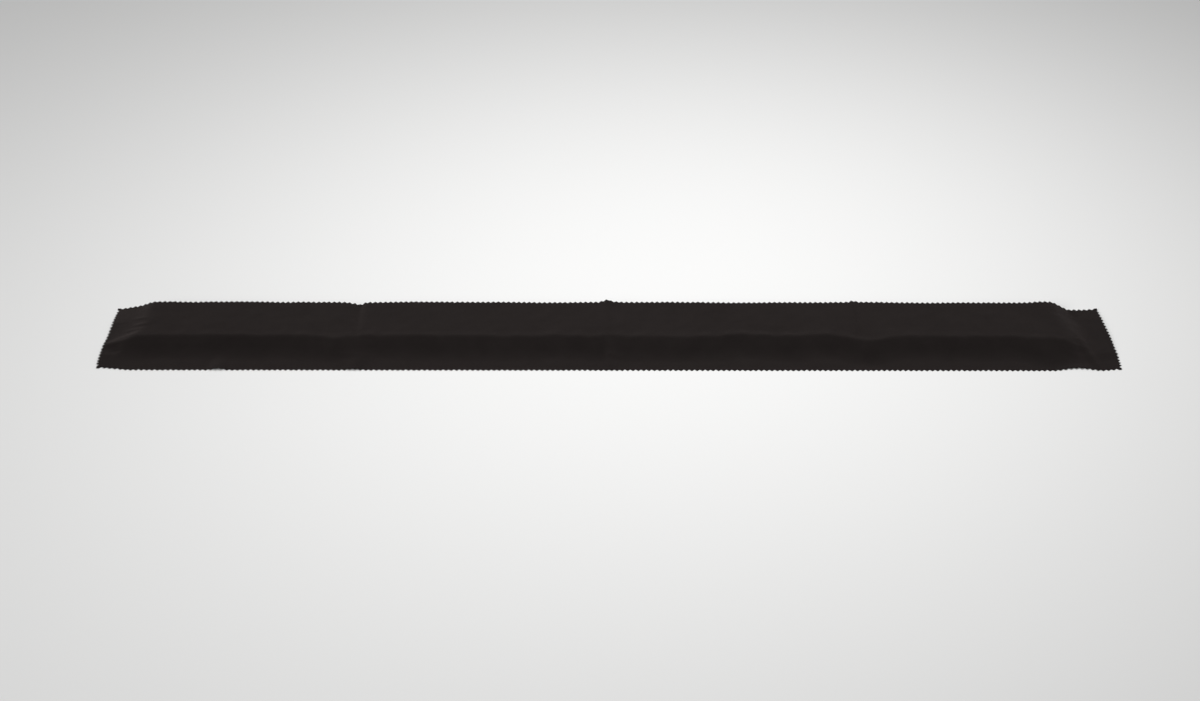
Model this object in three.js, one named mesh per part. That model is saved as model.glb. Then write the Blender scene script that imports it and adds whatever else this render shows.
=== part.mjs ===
// A keyboard dust cover: one strip of black cloth with pinked edges. Its back half stands raised over
// a hollow, its front slopes down to a flat strip, and both ends fall to the surface.
// Millimetres. +X runs along the length, +Y from the front edge to the back edge, +Z up.
// The origin is the middle of the plan, on the surface that the cover rests on.

import * as THREE from "three";

// The cloth as cut, and the zigzag of its pinked edge
const CUT_LENGTH = 1266;
const CUT_DEPTH = 143.6;
const THICKNESS = 1;
const TEETH_ALONG = 192;
const TEETH_ACROSS = 21;
const TOOTH_DEPTH = 3.2;

// The drape from front to back: a flat strip, a hollow foot, an even slope and a rounded crest
const RISE = 12.5;
const SLOPE = 0.47;
const FOOT_Y = -40;
const FOOT_BLEND = 12;
const CREST_BLEND = 1.2;
const LIP_HEIGHT = 0.45;
const LIP_REACH = 15;

// How far the drape draws in the back edge, and the places where it draws in the front edge
const BACK_DRAW = 2.5;
const FRONT_DRAWS = [
  { place: "left corner", x: -630, draw: 4.6, reach: 42 },
  { place: "right arch", x: 578, draw: 4.2, reach: 32 },
  { place: "right corner", x: 645, draw: 4.4, reach: 44 },
];

// The fall at each end: how rounded it is, and at lines from back to front how far out its shoulder, its
// knee and the cloth's edge are, and the height at the knee and at the edge. A height below zero means
// that the cloth comes down to the surface before it.
const ENDS = [
  {
    end: "left", side: -1, blend: 1.6,
    y: [72, 30, 8, -8, -18, -32, -60, -72],
    shoulder: [584, 582, 582, 594, 594, 582, 582, 582],
    knee: [597, 600, 602, 628, 628, 614, 614, 614],
    edge: [630, 630.4, 631, 632, 633, 633, 633, 631],
    kneeHeight: [5.5, 7, 7.4, 1.8, 1.8, 0.8, 0.8, 0.8],
    edgeHeight: [-1, 3.4, 1.8, 1.6, 1.4, 0.3, 0.3, 0.3],
  },
  {
    end: "right", side: 1, blend: 3.5,
    y: [72, 45, 27, 6, -12, -25, -36, -60, -72],
    shoulder: [569, 567.5, 572, 575.5, 577, 571, 560, 560, 560],
    knee: [592, 591.5, 598, 602.5, 604, 599, 590, 590, 590],
    edge: [626.4, 629, 630.2, 631.6, 632, 632.4, 633, 633, 631],
    kneeHeight: [-2.2, 0.4, 0.8, 1, 1.1, 1.1, 1, 1, 1],
    edgeHeight: [1.5, 2.4, 2.4, 2.2, 1.8, 1.5, 1.2, 1.2, 1.2],
  },
];

// How far the slope's crest and foot stray from their lines, forward or (below zero) back
const SLOPE_STRAYS = [
  { x: -535, crest: -1.8, foot: -1.8, reach: 60 },
  { x: -402, crest: -1.9, foot: -1.9, reach: 34 },
  { x: -345, crest: 5, foot: 5, reach: 18 },
  { x: -302, crest: -2.2, foot: -2.2, reach: 28 },
  { x: -222, crest: 1, foot: 1, reach: 40 },
  { x: -133, crest: 2.5, foot: 2.5, reach: 22 },
  { x: -67, crest: -3.4, foot: -3.4, reach: 28 },
  { x: -20, crest: 2, foot: 2, reach: 20 },
  { x: 30, crest: 2.4, foot: 2.4, reach: 26 },
  { x: 92, crest: 3.4, foot: 3.4, reach: 60 },
  { x: 167, crest: -3.9, foot: -3.9, reach: 30 },
  { x: 224, crest: 2, foot: 2, reach: 28 },
  { x: 268, crest: -2.5, foot: -2.5, reach: 30 },
  { x: 325, crest: 11.5, foot: 11.5, reach: 44 },
  { x: 400, crest: -1.4, foot: -1.4, reach: 30 },
  { x: 548, crest: 6, foot: 14, reach: 46 },
  { x: 585, crest: 9, foot: 4, reach: 40 },
];

// Folds from the back edge to the front edge: place along the length at those two edges, height at the
// back edge, the crest, the foot and the front edge, and reach to left and right. A sharp one is creased.
const FOLDS = [
  { fold: "left corner spread", x: [-672, -624], height: [0, 0, 2.4, 0.6], reach: [40, 27], sharp: false },
  { fold: "left shoulder", x: [-566, -570], height: [0.8, 0.4, 0, 0], reach: [22, 34], sharp: false },
  { fold: "left front lift", x: [-482, -482], height: [0, 0, 0.3, 2.8], reach: [14, 14], sharp: false },
  { fold: "first crease", x: [-317, -314], height: [-4, -0.6, 0, 0], reach: [27, 10], sharp: true },
  { fold: "first dip", x: [-316, -320], height: [0, -0.2, 2.6, 0], reach: [40, 36], sharp: false },
  { fold: "first lift", x: [-315, -315], height: [0, 0, 0, 1.8], reach: [14, 14], sharp: false },
  { fold: "middle crease", x: [-4, 2], height: [3.4, -0.6, 4, 0.5], reach: [12, 20], sharp: true },
  { fold: "last crease", x: [312, 312], height: [2.6, 0.4, 0.4, 0.4], reach: [11, 11], sharp: true },
  { fold: "right shoulder", x: [554, 556], height: [1.1, 0.5, 0, 0], reach: [20, 24], sharp: false },
  { fold: "right front arch", x: [598, 576], height: [0, 0, 0.4, 2], reach: [28, 38], sharp: false },
  { fold: "right corner lift", x: [636, 636], height: [0, 0, 0.3, 0.6], reach: [44, 44], sharp: false },
];

// Folds that run aslant from one point of the plan to another: height in the middle, and half width
const SLANT_FOLDS = [
  { fold: "left ridge", from: [-590, -14], to: [-655, -20], height: 1.1, reach: 10 },
  { fold: "right ridge", from: [583, 15], to: [610, -85], height: 1.5, reach: 9 },
];

// Slow unevenness of the raised part along its length
const WAVES = [
  { length: 262, height: 0.35, start: 0.4 },
  { length: 117, height: 0.22, start: 2.1 },
];

// The cloth's colour and finish
const CLOTH_COLOUR = 0x262322;
const CLOTH_ROUGHNESS = 0.95;

const HALF_LENGTH = CUT_LENGTH / 2;
const HALF_DEPTH = CUT_DEPTH / 2;

// The mesh: columns that crowd together at both ends, with one on each crease, and rows that crowd together
// over the foot and the crest. A stretch of columns runs from its start to the next one's.
const EDGE_INSET = 7;
const COLUMN_STRETCHES = [
  { start: EDGE_INSET - HALF_LENGTH, columns: 15 },
  { start: -540, columns: 20 },
  { start: -317, columns: 29 },
  { start: -1, columns: 29 },
  { start: 312, columns: 21 },
  { start: 540, columns: 15 },
  { start: HALF_LENGTH - EDGE_INSET, columns: 1 },
];
const ROW_DEPTHS = [7, 15, 26, 36, 45, 53, 56, 59, 64, 72, 92, 114, 135];
const NORMAL_STEP = 0.5;

const CREST_Y = FOOT_Y + RISE / SLOPE;
const EDGE_LINES = [HALF_DEPTH, -HALF_DEPTH];
const FOLD_LINES = [HALF_DEPTH, CREST_Y, FOOT_Y, -HALF_DEPTH];
const SIDES = 4;
const { clamp, lerp, smoothstep } = THREE.MathUtils;

// The greater of d and zero, with the corner between them rounded off within blend of it
function aboveZero(d, blend) {
  if (d <= -blend) return 0;
  if (d >= blend) return d;
  return (d + blend) ** 2 / (4 * blend);
}

// The lesser of two heights, rounded off where they meet
function lesser(a, b, blend) {
  return a - aboveZero(a - b, blend);
}

// A bump of height 1 at distance 0 that dies out at distance 1, rounded or creased on top
function bump(distance, sharp) {
  const d = Math.min(Math.abs(distance), 1);
  return sharp ? (1 - d) ** 2 : (1 - d * d) ** 2;
}

// A value that is given at lines from back to front, read off at y
function readOff(lines, values, y) {
  let i = 1;
  while (i < lines.length - 1 && y < lines[i]) i += 1;
  const part = clamp((lines[i - 1] - y) / (lines[i - 1] - lines[i]), 0, 1);
  return lerp(values[i - 1], values[i], part);
}

// One column of a table of bumps along the length, added up at x
function sumOfBumps(table, column, x) {
  return table.reduce((sum, row) => sum + row[column] * bump((x - row.x) / row.reach, false), 0);
}

// A fall: steep from the shoulder to the knee, and gentle or rising from there to the cloth's edge
function fallHeight(end, x, y) {
  const shoulder = readOff(end.y, end.shoulder, y);
  const knee = readOff(end.y, end.knee, y);
  const edge = readOff(end.y, end.edge, y);
  const kneeHeight = readOff(end.y, end.kneeHeight, y);
  const edgeHeight = readOff(end.y, end.edgeHeight, y);
  const pastKnee = end.side * x - knee;
  const steep = kneeHeight - (pastKnee * (RISE - kneeHeight)) / (knee - shoulder);
  const gentle = kneeHeight + (pastKnee * (edgeHeight - kneeHeight)) / (edge - knee);
  return gentle + aboveZero(steep - gentle, end.blend);
}

// The raised part, uneven along its length, with a low lip where it bends over the crest
function raisedHeight(x, pastCrest) {
  const lip = LIP_HEIGHT * bump(pastCrest / LIP_REACH, false);
  return WAVES.reduce((sum, { length, height, start }) => {
    return sum + height * Math.sin((2 * Math.PI * x) / length + start);
  }, RISE + lip);
}

function foldHeight(fold, x, y) {
  const aside = x - readOff(EDGE_LINES, fold.x, y);
  const reach = aside < 0 ? fold.reach[0] : fold.reach[1];
  return readOff(FOLD_LINES, fold.height, y) * bump(aside / reach, fold.sharp);
}

function slantFoldHeight({ from, to, height, reach }, x, y) {
  const run = [to[0] - from[0], to[1] - from[1]];
  const length = Math.hypot(...run);
  const along = ((x - from[0]) * run[0] + (y - from[1]) * run[1]) / length;
  const aside = ((x - from[0]) * run[1] - (y - from[1]) * run[0]) / length;
  return height * bump((2 * along) / length - 1, false) * bump(aside / reach, false);
}

// Height of the cloth's underside over the point (x, y) of the surface
function drape(x, y) {
  const crestY = CREST_Y - sumOfBumps(SLOPE_STRAYS, "crest", x);
  const footY = FOOT_Y - sumOfBumps(SLOPE_STRAYS, "foot", x);
  const front = (RISE * aboveZero(y - footY, FOOT_BLEND)) / (crestY - footY);
  let height = lesser(front, raisedHeight(x, y - crestY), CREST_BLEND);
  for (const end of ENDS) height = lesser(height, fallHeight(end, x, y), end.blend);
  for (const fold of FOLDS) height += foldHeight(fold, x, y);
  for (const fold of SLANT_FOLDS) height += slantFoldHeight(fold, x, y);
  return Math.max(height, 0);
}

// Where a point of the flat cloth, s along it and t back from its front edge, comes to lie in plan
function planPoint(s, t) {
  const y = t - HALF_DEPTH;
  const end = ENDS[s < 0 ? 0 : 1];
  const out = (Math.abs(s) * readOff(end.y, end.edge, y)) / HALF_LENGTH;
  const x = end.side * out;
  const raised = 1 - smoothstep(out, end.shoulder[0], end.knee[0]);
  const backDraw = BACK_DRAW * raised * smoothstep(y, FOOT_Y, CREST_Y);
  const frontDraw = sumOfBumps(FRONT_DRAWS, "draw", x) * (1 - smoothstep(y, -HALF_DEPTH, FOOT_Y));
  return [x, y - backDraw + frontDraw];
}

function skinPoints(s, t) {
  const [x, y] = planPoint(s, t);
  const across = drape(x + NORMAL_STEP, y) - drape(x - NORMAL_STEP, y);
  const along = drape(x, y + NORMAL_STEP) - drape(x, y - NORMAL_STEP);
  const under = new THREE.Vector3(x, y, drape(x, y));
  const normal = new THREE.Vector3(-across, -along, 2 * NORMAL_STEP).normalize();
  return { under, upper: under.clone().addScaledVector(normal, THICKNESS) };
}

// One side of the zigzag outline, from its first corner; at counts the sides passed
function pinkedSide(side, teeth, pointAt) {
  return Array.from({ length: 2 * teeth }, (_, i) => {
    const along = i / (2 * teeth);
    const notched = i > 0 && i % 2 === 0;
    const [s, t] = pointAt(along, notched ? TOOTH_DEPTH : 0);
    return { s, t, at: side + along, notched };
  });
}

// The outline from the front left corner: two sides, and the same two after half a turn
function pinkedOutline() {
  const front = pinkedSide(0, TEETH_ALONG, (along, inset) => [along * CUT_LENGTH - HALF_LENGTH, inset]);
  const right = pinkedSide(1, TEETH_ACROSS, (along, inset) => [HALF_LENGTH - inset, along * CUT_DEPTH]);
  const half = [...front, ...right];
  const turned = half.map((point) => {
    return { ...point, s: -point.s, t: CUT_DEPTH - point.t, at: point.at + SIDES / 2 };
  });
  return [...half, ...turned];
}

// Triangles that fill each tooth of the outline, from the notch before it to the next one
function toothFaces(notches, outlineLength) {
  const faces = [];
  const next = (vertex) => (vertex + 1) % outlineLength;
  notches.forEach(({ vertex }, n) => {
    const stop = notches[(n + 1) % notches.length].vertex;
    for (let a = next(vertex); a !== stop; a = next(a)) faces.push([vertex, a, next(a)]);
  });
  return faces;
}

// Triangles that fill the band between two closed rings of vertices, which both count sides passed
function bandFaces(outer, inner) {
  const faces = [];
  const next = (ring, i) => (i + 1 < ring.length ? ring[i + 1] : { ...ring[0], at: ring[0].at + SIDES });
  let o = 0;
  let i = 0;
  while (o < outer.length || i < inner.length) {
    const from = outer[o % outer.length].vertex;
    const within = inner[i % inner.length].vertex;
    const outerNext = next(outer, o);
    const innerNext = next(inner, i);
    if (i === inner.length || (o < outer.length && outerNext.at <= innerNext.at)) {
      faces.push([from, outerNext.vertex, within]);
      o += 1;
    } else {
      faces.push([from, innerNext.vertex, within]);
      i += 1;
    }
  }
  return faces;
}

// Places of the mesh's columns along the cloth, even within each stretch
function columnPlaces() {
  return COLUMN_STRETCHES.flatMap(({ start, columns }, i) => {
    const stop = COLUMN_STRETCHES[i + 1]?.start ?? start;
    return Array.from({ length: columns }, (_, column) => lerp(start, stop, column / columns));
  });
}

// The flat cloth's vertices and faces: a grid inside the pinked outline, and a band between the two
function flatMesh() {
  const vertices = pinkedOutline();
  const outlineLength = vertices.length;
  const outline = vertices.map(({ at, notched }, vertex) => ({ at, notched, vertex }));
  const notches = outline.filter(({ notched }) => notched);
  const places = columnPlaces();
  const lastColumn = places.length - 1;
  const lastRow = ROW_DEPTHS.length - 1;
  const gridVertex = (column, row) => outlineLength + row * places.length + column;
  for (const t of ROW_DEPTHS) {
    for (const s of places) vertices.push({ s, t });
  }

  const faces = [];
  for (let row = 0; row < lastRow; row += 1) {
    for (let column = 0; column < lastColumn; column += 1) {
      const corner = gridVertex(column, row);
      const opposite = gridVertex(column + 1, row + 1);
      faces.push([corner, gridVertex(column + 1, row), opposite]);
      faces.push([corner, opposite, gridVertex(column, row + 1)]);
    }
  }

  const rim = [];
  const addToRim = (at, column, row) => rim.push({ at, vertex: gridVertex(column, row) });
  const shareAlong = (column) => places[column] / CUT_LENGTH + 1 / 2;
  for (let i = 0; i < lastColumn; i += 1) addToRim(shareAlong(i), i, 0);
  for (let i = 0; i < lastRow; i += 1) addToRim(1 + ROW_DEPTHS[i] / CUT_DEPTH, lastColumn, i);
  for (let i = lastColumn; i > 0; i -= 1) addToRim(SIDES - 1 - shareAlong(i), i, lastRow);
  for (let i = lastRow; i > 0; i -= 1) addToRim(SIDES - ROW_DEPTHS[i] / CUT_DEPTH, 0, i);
  faces.push(...toothFaces(notches, outlineLength), ...bandFaces(notches, rim));
  return { vertices, faces, outlineLength };
}

// The draped sheet: an upper and an under skin, closed round the outline by a narrow wall
function clothGeometry() {
  const { vertices, faces, outlineLength } = flatMesh();
  const skins = vertices.map(({ s, t }) => skinPoints(s, t));
  const points = [...skins.map(({ upper }) => upper), ...skins.map(({ under }) => under)];
  const underOf = (vertex) => vertex + vertices.length;
  const index = faces.flat();
  for (const [a, b, c] of faces) index.push(underOf(c), underOf(b), underOf(a));
  for (let a = 0; a < outlineLength; a += 1) {
    const b = (a + 1) % outlineLength;
    index.push(underOf(a), underOf(b), b, underOf(a), b, a);
  }
  const geometry = new THREE.BufferGeometry().setFromPoints(points);
  geometry.setIndex(index);
  geometry.computeVertexNormals();
  return geometry;
}

function buildCover() {
  const blackCloth = new THREE.MeshStandardMaterial({ color: CLOTH_COLOUR, roughness: CLOTH_ROUGHNESS });
  const cloth = new THREE.Mesh(clothGeometry(), blackCloth);
  cloth.name = "cover_cloth";
  const cover = new THREE.Group();
  cover.add(cloth);
  return cover;
}

export default buildCover();
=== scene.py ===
import math

import bpy
import numpy as np
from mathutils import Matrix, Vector


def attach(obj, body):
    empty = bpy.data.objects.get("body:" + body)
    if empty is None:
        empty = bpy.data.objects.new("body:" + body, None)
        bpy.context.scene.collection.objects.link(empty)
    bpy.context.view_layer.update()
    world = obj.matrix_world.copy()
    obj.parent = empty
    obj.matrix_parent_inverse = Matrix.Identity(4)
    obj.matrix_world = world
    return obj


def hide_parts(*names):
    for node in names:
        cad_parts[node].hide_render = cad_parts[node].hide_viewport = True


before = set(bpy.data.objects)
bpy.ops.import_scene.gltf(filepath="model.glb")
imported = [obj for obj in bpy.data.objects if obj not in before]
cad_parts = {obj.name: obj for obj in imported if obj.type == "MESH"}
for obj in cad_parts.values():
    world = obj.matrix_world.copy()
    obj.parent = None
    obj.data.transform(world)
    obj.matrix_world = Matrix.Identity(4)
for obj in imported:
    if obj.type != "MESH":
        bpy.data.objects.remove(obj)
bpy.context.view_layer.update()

# A keyboard dust cover of matte black napped cloth, pinked all round. Metres, in the frame of the solids:
# +X along the length, +Y from the front edge to the back edge, +Z up from the surface.

# The cloth as cut, and the zigzag of its pinked edge
CUT_LENGTH = 1.266
CUT_DEPTH = 0.1436
THICKNESS = 0.0006
TEETH_ALONG = 192
TEETH_ACROSS = 21
TOOTH_DEPTH = 0.0032
TOOTH_UNEVEN = 0.0004

# The drape from front to back: a flat strip, a hollow foot, an even slope, and a rounded crest with a low
# lip behind it. The lip is uneven at two pitches along the length, and swells at one place.
RISE = 0.0125
SLOPE = 0.47
FOOT_Y = -0.040
FOOT_BLEND = 0.012
CREST_BLEND = 0.0012
LIP_HEIGHT = 0.00045
LIP_REACH = 0.015
LIP_PITCHES = (0.031, 0.164)
LIP_SWELL = dict(x=0.196, reach=0.110, times=1.6)

# How far the drape draws in the back edge, and the places where it draws in the front edge
BACK_DRAW = 0.0025
FRONT_DRAWS = [
    dict(place="left corner", x=-0.630, draw=0.0046, reach=0.042),
    dict(place="right arch", x=0.578, draw=0.0042, reach=0.032),
    dict(place="right corner", x=0.645, draw=0.0044, reach=0.044),
]

# The fall at each end: how rounded it is, and at lines from back to front how far out its shoulder, its
# knee and the cloth's edge are, and the height at the knee and at the edge. A height below zero means
# that the cloth comes down to the surface before it.
ENDS = [
    dict(
        end="left", side=-1, blend=0.0016,
        y=[0.072, 0.030, 0.008, -0.008, -0.018, -0.032, -0.060, -0.072],
        shoulder=[0.5840, 0.5820, 0.5820, 0.5940, 0.5940, 0.5820, 0.5820, 0.5820],
        knee=[0.5970, 0.6000, 0.6020, 0.6280, 0.6280, 0.6140, 0.6140, 0.6140],
        edge=[0.6300, 0.6304, 0.6310, 0.6320, 0.6330, 0.6330, 0.6330, 0.6310],
        knee_height=[0.0055, 0.0070, 0.0074, 0.0018, 0.0018, 0.0008, 0.0008, 0.0008],
        edge_height=[-0.0010, 0.0034, 0.0018, 0.0016, 0.0014, 0.0003, 0.0003, 0.0003],
    ),
    dict(
        end="right", side=1, blend=0.0035,
        y=[0.072, 0.045, 0.027, 0.006, -0.012, -0.025, -0.036, -0.060, -0.072],
        shoulder=[0.5690, 0.5675, 0.5720, 0.5755, 0.5770, 0.5710, 0.5600, 0.5600, 0.5600],
        knee=[0.5920, 0.5915, 0.5980, 0.6025, 0.6040, 0.5990, 0.5900, 0.5900, 0.5900],
        edge=[0.6264, 0.6290, 0.6302, 0.6316, 0.6320, 0.6324, 0.6330, 0.6330, 0.6310],
        knee_height=[-0.0022, 0.0004, 0.0008, 0.0010, 0.0011, 0.0011, 0.0010, 0.0010, 0.0010],
        edge_height=[0.0015, 0.0024, 0.0024, 0.0022, 0.0018, 0.0015, 0.0012, 0.0012, 0.0012],
    ),
]

# How far the slope's crest and foot stray from their lines, forward or (below zero) back
SLOPE_STRAYS = [
    dict(x=-0.535, crest=-0.0018, foot=-0.0018, reach=0.060),
    dict(x=-0.402, crest=-0.0019, foot=-0.0019, reach=0.034),
    dict(x=-0.345, crest=0.0050, foot=0.0050, reach=0.018),
    dict(x=-0.302, crest=-0.0022, foot=-0.0022, reach=0.028),
    dict(x=-0.222, crest=0.0010, foot=0.0010, reach=0.040),
    dict(x=-0.133, crest=0.0025, foot=0.0025, reach=0.022),
    dict(x=-0.067, crest=-0.0034, foot=-0.0034, reach=0.028),
    dict(x=-0.020, crest=0.0020, foot=0.0020, reach=0.020),
    dict(x=0.030, crest=0.0024, foot=0.0024, reach=0.026),
    dict(x=0.092, crest=0.0034, foot=0.0034, reach=0.060),
    dict(x=0.167, crest=-0.0039, foot=-0.0039, reach=0.030),
    dict(x=0.224, crest=0.0020, foot=0.0020, reach=0.028),
    dict(x=0.268, crest=-0.0025, foot=-0.0025, reach=0.030),
    dict(x=0.325, crest=0.0115, foot=0.0115, reach=0.044),
    dict(x=0.400, crest=-0.0014, foot=-0.0014, reach=0.030),
    dict(x=0.548, crest=0.0060, foot=0.0140, reach=0.046),
    dict(x=0.585, crest=0.0090, foot=0.0040, reach=0.040),
]

# Folds from the back edge to the front edge: place along the length at those two edges, height at the
# back edge, the crest, the foot and the front edge, and reach to left and right. A sharp one is creased.
FOLDS = [
    dict(fold="left corner spread", x=[-0.672, -0.624], height=[0, 0, 0.0024, 0.0006],
         reach=[0.040, 0.027], sharp=False),
    dict(fold="left shoulder", x=[-0.566, -0.570], height=[0.0008, 0.0004, 0, 0],
         reach=[0.022, 0.034], sharp=False),
    dict(fold="left front lift", x=[-0.482, -0.482], height=[0, 0, 0.0003, 0.0028],
         reach=[0.014, 0.014], sharp=False),
    dict(fold="first crease", x=[-0.317, -0.314], height=[-0.0040, -0.0006, 0, 0],
         reach=[0.027, 0.010], sharp=True),
    dict(fold="first dip", x=[-0.316, -0.320], height=[0, -0.0002, 0.0026, 0],
         reach=[0.040, 0.036], sharp=False),
    dict(fold="first lift", x=[-0.315, -0.315], height=[0, 0, 0, 0.0018],
         reach=[0.014, 0.014], sharp=False),
    dict(fold="middle crease", x=[-0.004, 0.002], height=[0.0034, -0.0006, 0.0040, 0.0005],
         reach=[0.012, 0.020], sharp=True),
    dict(fold="last crease", x=[0.312, 0.312], height=[0.0026, 0.0004, 0.0004, 0.0004],
         reach=[0.011, 0.011], sharp=True),
    dict(fold="right shoulder", x=[0.554, 0.556], height=[0.0011, 0.0005, 0, 0],
         reach=[0.020, 0.024], sharp=False),
    dict(fold="right front arch", x=[0.598, 0.576], height=[0, 0, 0.0004, 0.0020],
         reach=[0.028, 0.038], sharp=False),
    dict(fold="right corner lift", x=[0.636, 0.636], height=[0, 0, 0.0003, 0.0006],
         reach=[0.044, 0.044], sharp=False),
]

# Folds that run aslant from one point of the plan to another, a ridge at each end and a fan of short
# wrinkles at the left one: height in the middle, and half width
SLANT_FOLDS = [
    dict(fold="left ridge", start=(-0.590, -0.014), stop=(-0.655, -0.020), height=0.0011, reach=0.010),
    dict(fold="right ridge", start=(0.583, 0.015), stop=(0.610, -0.085), height=0.0015, reach=0.009),
    dict(fold="left fan, back", start=(-0.580, 0.029), stop=(-0.608, 0.038), height=0.0006, reach=0.005),
    dict(fold="left fan, middle", start=(-0.578, 0.016), stop=(-0.604, 0.019), height=0.0007, reach=0.005),
    dict(fold="left fan, front", start=(-0.577, 0.007), stop=(-0.616, 0.006), height=0.0006, reach=0.005),
]

# Slow unevenness of the raised part along its length
WAVES = [
    dict(length=0.262, height=0.00035, start=0.4),
    dict(length=0.117, height=0.00022, start=2.1),
]

# The mesh: a grid set in from the cut edge, and one seed for all that is uneven at random
COLUMNS = 560
ROWS = 72
EDGE_INSET = 0.0058
SIDES = 4
SEED = 7

HALF_LENGTH = CUT_LENGTH / 2
HALF_DEPTH = CUT_DEPTH / 2
CREST_Y = FOOT_Y + RISE / SLOPE
EDGE_LINES = [HALF_DEPTH, -HALF_DEPTH]
FOLD_LINES = [HALF_DEPTH, CREST_Y, FOOT_Y, -HALF_DEPTH]

# Fine unevenness of the cloth where it stands off the surface: many small waves in all directions, at
# their full height where the cloth is as high as the rise given here
RIPPLES = 40
RIPPLE_LENGTHS = (0.018, 0.080)
RIPPLE_HEIGHT = 0.00007
RIPPLE_RISE = 0.004

# The cloth's surface: two near-black tones mottled by coarse and fine noise, a raised nap and a soft sheen
DARK_TONE = (0.0037, 0.0028, 0.0026, 1)
LIGHT_TONE = (0.0073, 0.0058, 0.0055, 1)
TONE_RANGE = (0.3, 0.7)
MOTTLE = dict(Scale=34, Detail=4, Roughness=0.6)
NAP = dict(Scale=1000, Detail=5, Roughness=0.75)
NAP_SHARE = 0.5
NAP_RELIEF = dict(Strength=0.7, Distance=0.0006)
CLOTH_SURFACE = {
    "Roughness": 0.92,
    "Specular IOR Level": 0.05,
    "Sheen Weight": 0.0635,
    "Sheen Roughness": 0.6,
    "Sheen Tint": (0.98, 0.81, 0.78, 1),
}

# The stage: a pale floor, a key light overhead, a fill light from the front left and a soft white sky
FLOOR_REACH = 9
FLOOR_SURFACE = {"Base Color": (0.74, 0.74, 0.735, 1), "Roughness": 0.8}
LIGHTS = [
    dict(light="key", place=(0.12, 0.2, 1.25), size=(0.7, 1.0), power=15),
    dict(light="fill", place=(-4.0, -3.8, 2.8), size=(3.2, 2.4), power=168),
]
SKY = {"Color": (1, 1, 1, 1), "Strength": 0.3}

# The camera, at the photograph's angle
CAMERA_PLACE = (-0.0111, -2.3151, 1.4893)
CAMERA_PITCH = math.radians(33.04)
CAMERA_ROLL = math.radians(0.05)
LENS_MM = 65.7


def make_camera():
    """A camera that faces straight back and is tipped down."""
    camera = bpy.data.objects.new("camera", bpy.data.cameras.new("camera"))
    camera.data.lens = LENS_MM
    camera.location = CAMERA_PLACE
    camera.rotation_euler = (math.pi / 2 - CAMERA_PITCH, 0, 0)
    camera.rotation_euler.rotate_axis("Z", CAMERA_ROLL)
    bpy.context.scene.collection.objects.link(camera)
    bpy.context.scene.camera = camera


def above_zero(d, blend):
    """The greater of d and zero, with the corner between them rounded off within blend of it."""
    rounded = (np.clip(d, -blend, blend) + blend) ** 2 / (4 * blend)
    return np.where(d > blend, d, rounded)


def lesser(a, b, blend):
    """The lesser of a and b, with the corner between them rounded off."""
    return a - above_zero(a - b, blend)


def bump(distance, sharp=False):
    """A bump of height 1 at distance 0 that dies out at distance 1, rounded or creased on top."""
    d = np.minimum(np.abs(distance), 1)
    return (1 - d) ** 2 if sharp else (1 - d * d) ** 2


def read_off(lines, values, y):
    """A value that is given at lines from back to front, read off at y."""
    return np.interp(y, lines[::-1], values[::-1])


def smooth_step(x, low, high):
    """A rise from 0 at low to 1 at high, level at both ends."""
    part = np.clip((x - low) / (high - low), 0, 1)
    return part * part * (3 - 2 * part)


def fall_height(end, x, y):
    """A fall: steep from the shoulder to the knee, and gentle or rising from there to the cloth's edge."""
    shoulder = read_off(end["y"], end["shoulder"], y)
    knee = read_off(end["y"], end["knee"], y)
    edge = read_off(end["y"], end["edge"], y)
    knee_height = read_off(end["y"], end["knee_height"], y)
    edge_height = read_off(end["y"], end["edge_height"], y)
    past_knee = end["side"] * x - knee
    steep = knee_height - past_knee * (RISE - knee_height) / (knee - shoulder)
    gentle = knee_height + past_knee * (edge_height - knee_height) / (edge - knee)
    return gentle + above_zero(steep - gentle, end["blend"])


def sum_of_bumps(table, column, x):
    """One column of a table of bumps along the length, added up at x."""
    return sum(row[column] * bump((x - row["x"]) / row["reach"]) for row in table)


def fold_height(fold, x, y):
    """What a fold from back to front adds to the height."""
    aside = x - read_off(EDGE_LINES, fold["x"], y)
    reach = np.where(aside < 0, fold["reach"][0], fold["reach"][1])
    return read_off(FOLD_LINES, fold["height"], y) * bump(aside / reach, fold["sharp"])


def slant_fold_height(fold, x, y):
    """What a slanting fold adds to the height: most in its middle, and nothing at both ends."""
    start = np.array(fold["start"])
    run = np.array(fold["stop"]) - start
    length = np.hypot(*run)
    along = ((x - start[0]) * run[0] + (y - start[1]) * run[1]) / length
    aside = ((x - start[0]) * run[1] - (y - start[1]) * run[0]) / length
    return fold["height"] * bump(2 * along / length - 1) * bump(aside / fold["reach"])


def lip_height(x, past_crest):
    """The low lip where the raised part bends over the crest, uneven along its length."""
    short, long = (np.sin(2 * np.pi * x / pitch) for pitch in LIP_PITCHES)
    swell = LIP_SWELL["times"] * bump((x - LIP_SWELL["x"]) / LIP_SWELL["reach"])
    return LIP_HEIGHT * (1 + short * long / 2) * (1 + swell) * bump(past_crest / LIP_REACH)


def ripples(x, y):
    """The sum of the small waves, scaled so that its root mean square is RIPPLE_HEIGHT."""
    rng = np.random.default_rng(SEED)
    height = np.zeros_like(x)
    for _ in range(RIPPLES):
        length = rng.uniform(*RIPPLE_LENGTHS)
        heading = rng.uniform(0, 2 * np.pi)
        start = rng.uniform(0, 2 * np.pi)
        height += np.sin(2 * np.pi * (x * np.cos(heading) + y * np.sin(heading)) / length + start)
    return height * RIPPLE_HEIGHT / np.sqrt(RIPPLES / 2)


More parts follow.
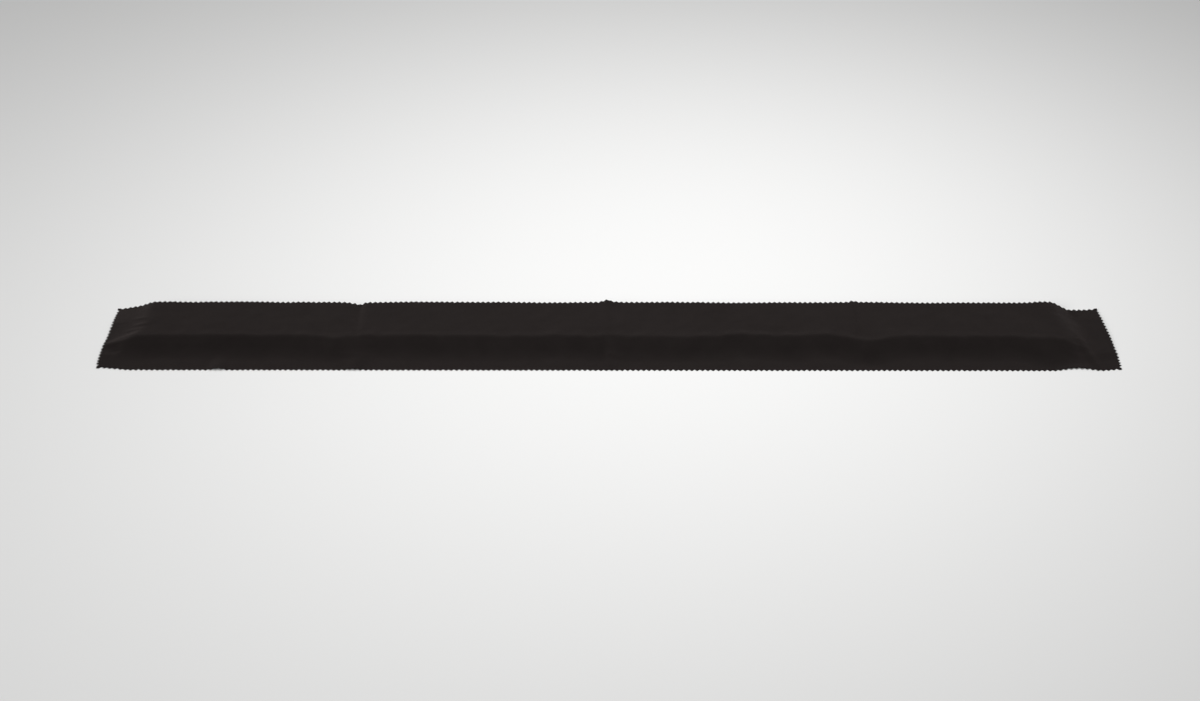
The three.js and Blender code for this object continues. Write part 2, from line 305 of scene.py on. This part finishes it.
def drape(x, y):
    """Height of the cloth's underside over the points (x, y) of the surface."""
    crest_y = CREST_Y - sum_of_bumps(SLOPE_STRAYS, "crest", x)
    foot_y = FOOT_Y - sum_of_bumps(SLOPE_STRAYS, "foot", x)
    front = RISE * above_zero(y - foot_y, FOOT_BLEND) / (crest_y - foot_y)
    raised = RISE + lip_height(x, y - crest_y)
    raised = raised + sum(w["height"] * np.sin(2 * np.pi * x / w["length"] + w["start"]) for w in WAVES)
    height = lesser(front, raised, CREST_BLEND)
    for end in ENDS:
        height = lesser(height, fall_height(end, x, y), end["blend"])
    height = height + sum(fold_height(fold, x, y) for fold in FOLDS)
    height = height + sum(slant_fold_height(fold, x, y) for fold in SLANT_FOLDS)
    height = height + ripples(x, y) * smooth_step(height, 0, RIPPLE_RISE)
    return np.maximum(height, 0)


def plan_points(s, t):
    """Where points of the flat cloth, s along it and t back from its front edge, come to lie in plan."""
    y = t - HALF_DEPTH
    x = np.zeros_like(s)
    raised = np.zeros_like(s)
    for end in ENDS:
        here = np.sign(s) == end["side"]
        out = np.abs(s) * read_off(end["y"], end["edge"], y) / HALF_LENGTH
        x = np.where(here, end["side"] * out, x)
        raised = np.where(here, 1 - smooth_step(out, end["shoulder"][0], end["knee"][0]), raised)
    back_draw = BACK_DRAW * raised * smooth_step(y, FOOT_Y, CREST_Y)
    front_draw = sum_of_bumps(FRONT_DRAWS, "draw", x) * (1 - smooth_step(y, -HALF_DEPTH, FOOT_Y))
    return x, y - back_draw + front_draw


def pinked_outline():
    """The zigzag outline as columns s, t, at and inset, where at counts the sides passed."""
    rng = np.random.default_rng(SEED)
    points = []
    for side, teeth in enumerate([TEETH_ALONG, TEETH_ACROSS] * 2):
        inset = TOOTH_DEPTH + rng.uniform(-TOOTH_UNEVEN, TOOTH_UNEVEN, 2 * teeth)
        inset[0] = 0
        inset[1::2] = 0
        along = np.arange(2 * teeth) / (2 * teeth)
        s = along * CUT_LENGTH - HALF_LENGTH
        t = inset
        if side % 2 == 1:
            s = HALF_LENGTH - inset
            t = along * CUT_DEPTH
        if side >= 2:
            s = -s
            t = CUT_DEPTH - t
        points.append(np.column_stack([s, t, side + along, inset]))
    return np.concatenate(points)


def tooth_faces(notches, count):
    """Triangles that fill each tooth of the outline, from the notch before it to the next one."""
    faces = []
    for notch, stop in zip(notches, notches[1:] + notches[:1]):
        corner = (notch + 1) % count
        while corner != stop:
            faces.append((notch, corner, (corner + 1) % count))
            corner = (corner + 1) % count
    return faces


def band_faces(outer, inner):
    """Triangles between two closed rings of (vertex, at), which both count the sides passed."""
    faces = []
    outer = outer + [(outer[0][0], outer[0][1] + SIDES)]
    inner = inner + [(inner[0][0], inner[0][1] + SIDES)]
    o = 0
    i = 0
    while o < len(outer) - 1 or i < len(inner) - 1:
        outer_turn = i == len(inner) - 1 or (o < len(outer) - 1 and outer[o + 1][1] <= inner[i + 1][1])
        ahead = outer[o + 1] if outer_turn else inner[i + 1]
        faces.append((outer[o][0], ahead[0], inner[i][0]))
        o += outer_turn
        i += not outer_turn
    return faces


def flat_mesh():
    """The flat cloth: columns s and t of its vertices, its faces, and how many vertices the outline has."""
    outline = pinked_outline()
    count = len(outline)
    s_line = np.linspace(EDGE_INSET - HALF_LENGTH, HALF_LENGTH - EDGE_INSET, COLUMNS + 1)
    t_line = np.linspace(EDGE_INSET, CUT_DEPTH - EDGE_INSET, ROWS + 1)
    grid_s, grid_t = np.meshgrid(s_line, t_line)
    s = np.concatenate([outline[:, 0], grid_s.ravel()])
    t = np.concatenate([outline[:, 1], grid_t.ravel()])
    number = count + np.arange((ROWS + 1) * (COLUMNS + 1)).reshape(ROWS + 1, COLUMNS + 1)
    quads = np.stack([number[:-1, :-1], number[:-1, 1:], number[1:, 1:], number[1:, :-1]], axis=-1)
    faces = quads.reshape(-1, 4).tolist()
    sides = [number[0, :-1], number[:-1, -1], number[-1, :0:-1], number[:0:-1, 0]]
    shares = [s_line / CUT_LENGTH + 0.5, t_line / CUT_DEPTH] * 2
    rim = [(int(v), k + share) for k in range(SIDES) for v, share in zip(sides[k], shares[k])]
    notches = np.flatnonzero(outline[:, 3]).tolist()
    faces += tooth_faces(notches, count)
    faces += band_faces([(notch, outline[notch, 2]) for notch in notches], rim)
    return s, t, faces, count


def sharpen_outline(mesh, count):
    """Keeps the cut edge crisp. The outline's vertices are the first ones."""
    ends = np.empty(2 * len(mesh.edges), dtype=np.int32)
    mesh.edges.foreach_get("vertices", ends)
    mesh.edges.foreach_set("use_edge_sharp", ends.reshape(-1, 2).max(axis=1) < count)


def make_cloth():
    """The draped sheet: a mesh of its upper side, which the modifier thickens downward."""
    s, t, faces, count = flat_mesh()
    x, y = plan_points(s, t)
    z = drape(x, y) + THICKNESS
    mesh = bpy.data.meshes.new("dust_cover")
    mesh.from_pydata(np.column_stack([x, y, z]).tolist(), [], faces)
    mesh.shade_smooth()
    sharpen_outline(mesh, count)
    cloth = bpy.data.objects.new("dust_cover", mesh)
    bpy.context.scene.collection.objects.link(cloth)
    body = cloth.modifiers.new("thickness", "SOLIDIFY")
    body.thickness = THICKNESS
    body.offset = -1
    return cloth


def set_values(node, values):
    """Sets inputs of a shader node by their names."""
    for socket, value in values.items():
        node.inputs[socket].default_value = value


def noise(tree, place, values):
    """A noise texture that is laid out in the cloth's own frame."""
    texture = tree.nodes.new("ShaderNodeTexNoise")
    set_values(texture, values)
    tree.links.new(place.outputs["Object"], texture.inputs["Vector"])
    return texture


def cloth_material():
    """Both noises mix the two tones, and the fine one also raises the nap."""
    material = bpy.data.materials.new("napped_black_cloth")
    material.use_nodes = True
    tree = material.node_tree
    shader = tree.nodes["Principled BSDF"]
    set_values(shader, CLOTH_SURFACE)

    place = tree.nodes.new("ShaderNodeTexCoord")
    mottle = noise(tree, place, MOTTLE)
    nap = noise(tree, place, NAP)
    both = tree.nodes.new("ShaderNodeMix")
    both.inputs["Factor"].default_value = NAP_SHARE
    tree.links.new(mottle.outputs["Fac"], both.inputs["A"])
    tree.links.new(nap.outputs["Fac"], both.inputs["B"])

    tone = tree.nodes.new("ShaderNodeValToRGB")
    for stop, position, colour in zip(tone.color_ramp.elements, TONE_RANGE, (DARK_TONE, LIGHT_TONE)):
        stop.position = position
        stop.color = colour
    tree.links.new(both.outputs["Result"], tone.inputs["Fac"])
    tree.links.new(tone.outputs["Color"], shader.inputs["Base Color"])

    relief = tree.nodes.new("ShaderNodeBump")
    set_values(relief, NAP_RELIEF)
    tree.links.new(nap.outputs["Fac"], relief.inputs["Height"])
    tree.links.new(relief.outputs["Normal"], shader.inputs["Normal"])
    return material


def make_floor():
    """A square floor, which isn't part of the object."""
    mesh = bpy.data.meshes.new("floor")
    corners = [(-1, -1), (1, -1), (1, 1), (-1, 1)]
    mesh.from_pydata([(FLOOR_REACH * x, FLOOR_REACH * y, 0) for x, y in corners], [], [range(len(corners))])
    floor = bpy.data.objects.new("floor", mesh)
    bpy.context.scene.collection.objects.link(floor)
    material = bpy.data.materials.new("pale_floor")
    material.use_nodes = True
    set_values(material.node_tree.nodes["Principled BSDF"], FLOOR_SURFACE)
    mesh.materials.append(material)


def area_light(light, place, size, power):
    """A lamp that points at the origin."""
    lamp = bpy.data.objects.new(light, bpy.data.lights.new(light, "AREA"))
    lamp.data.shape = "RECTANGLE"
    lamp.data.size, lamp.data.size_y = size
    lamp.data.energy = power
    lamp.location = place
    lamp.rotation_euler = (-Vector(place)).to_track_quat("-Z", "Y").to_euler()
    bpy.context.scene.collection.objects.link(lamp)


def make_lights():
    """The lamps and the sky, with colours shown as they are."""
    for row in LIGHTS:
        area_light(**row)
    world = bpy.data.worlds.new("soft_white")
    world.use_nodes = True
    set_values(world.node_tree.nodes["Background"], SKY)
    bpy.context.scene.world = world
    bpy.context.scene.view_settings.view_transform = "Standard"


make_camera()
make_floor()
make_lights()

cloth = make_cloth()
cloth.data.materials.append(cloth_material())
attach(cloth, "root")
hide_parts("cover_cloth")
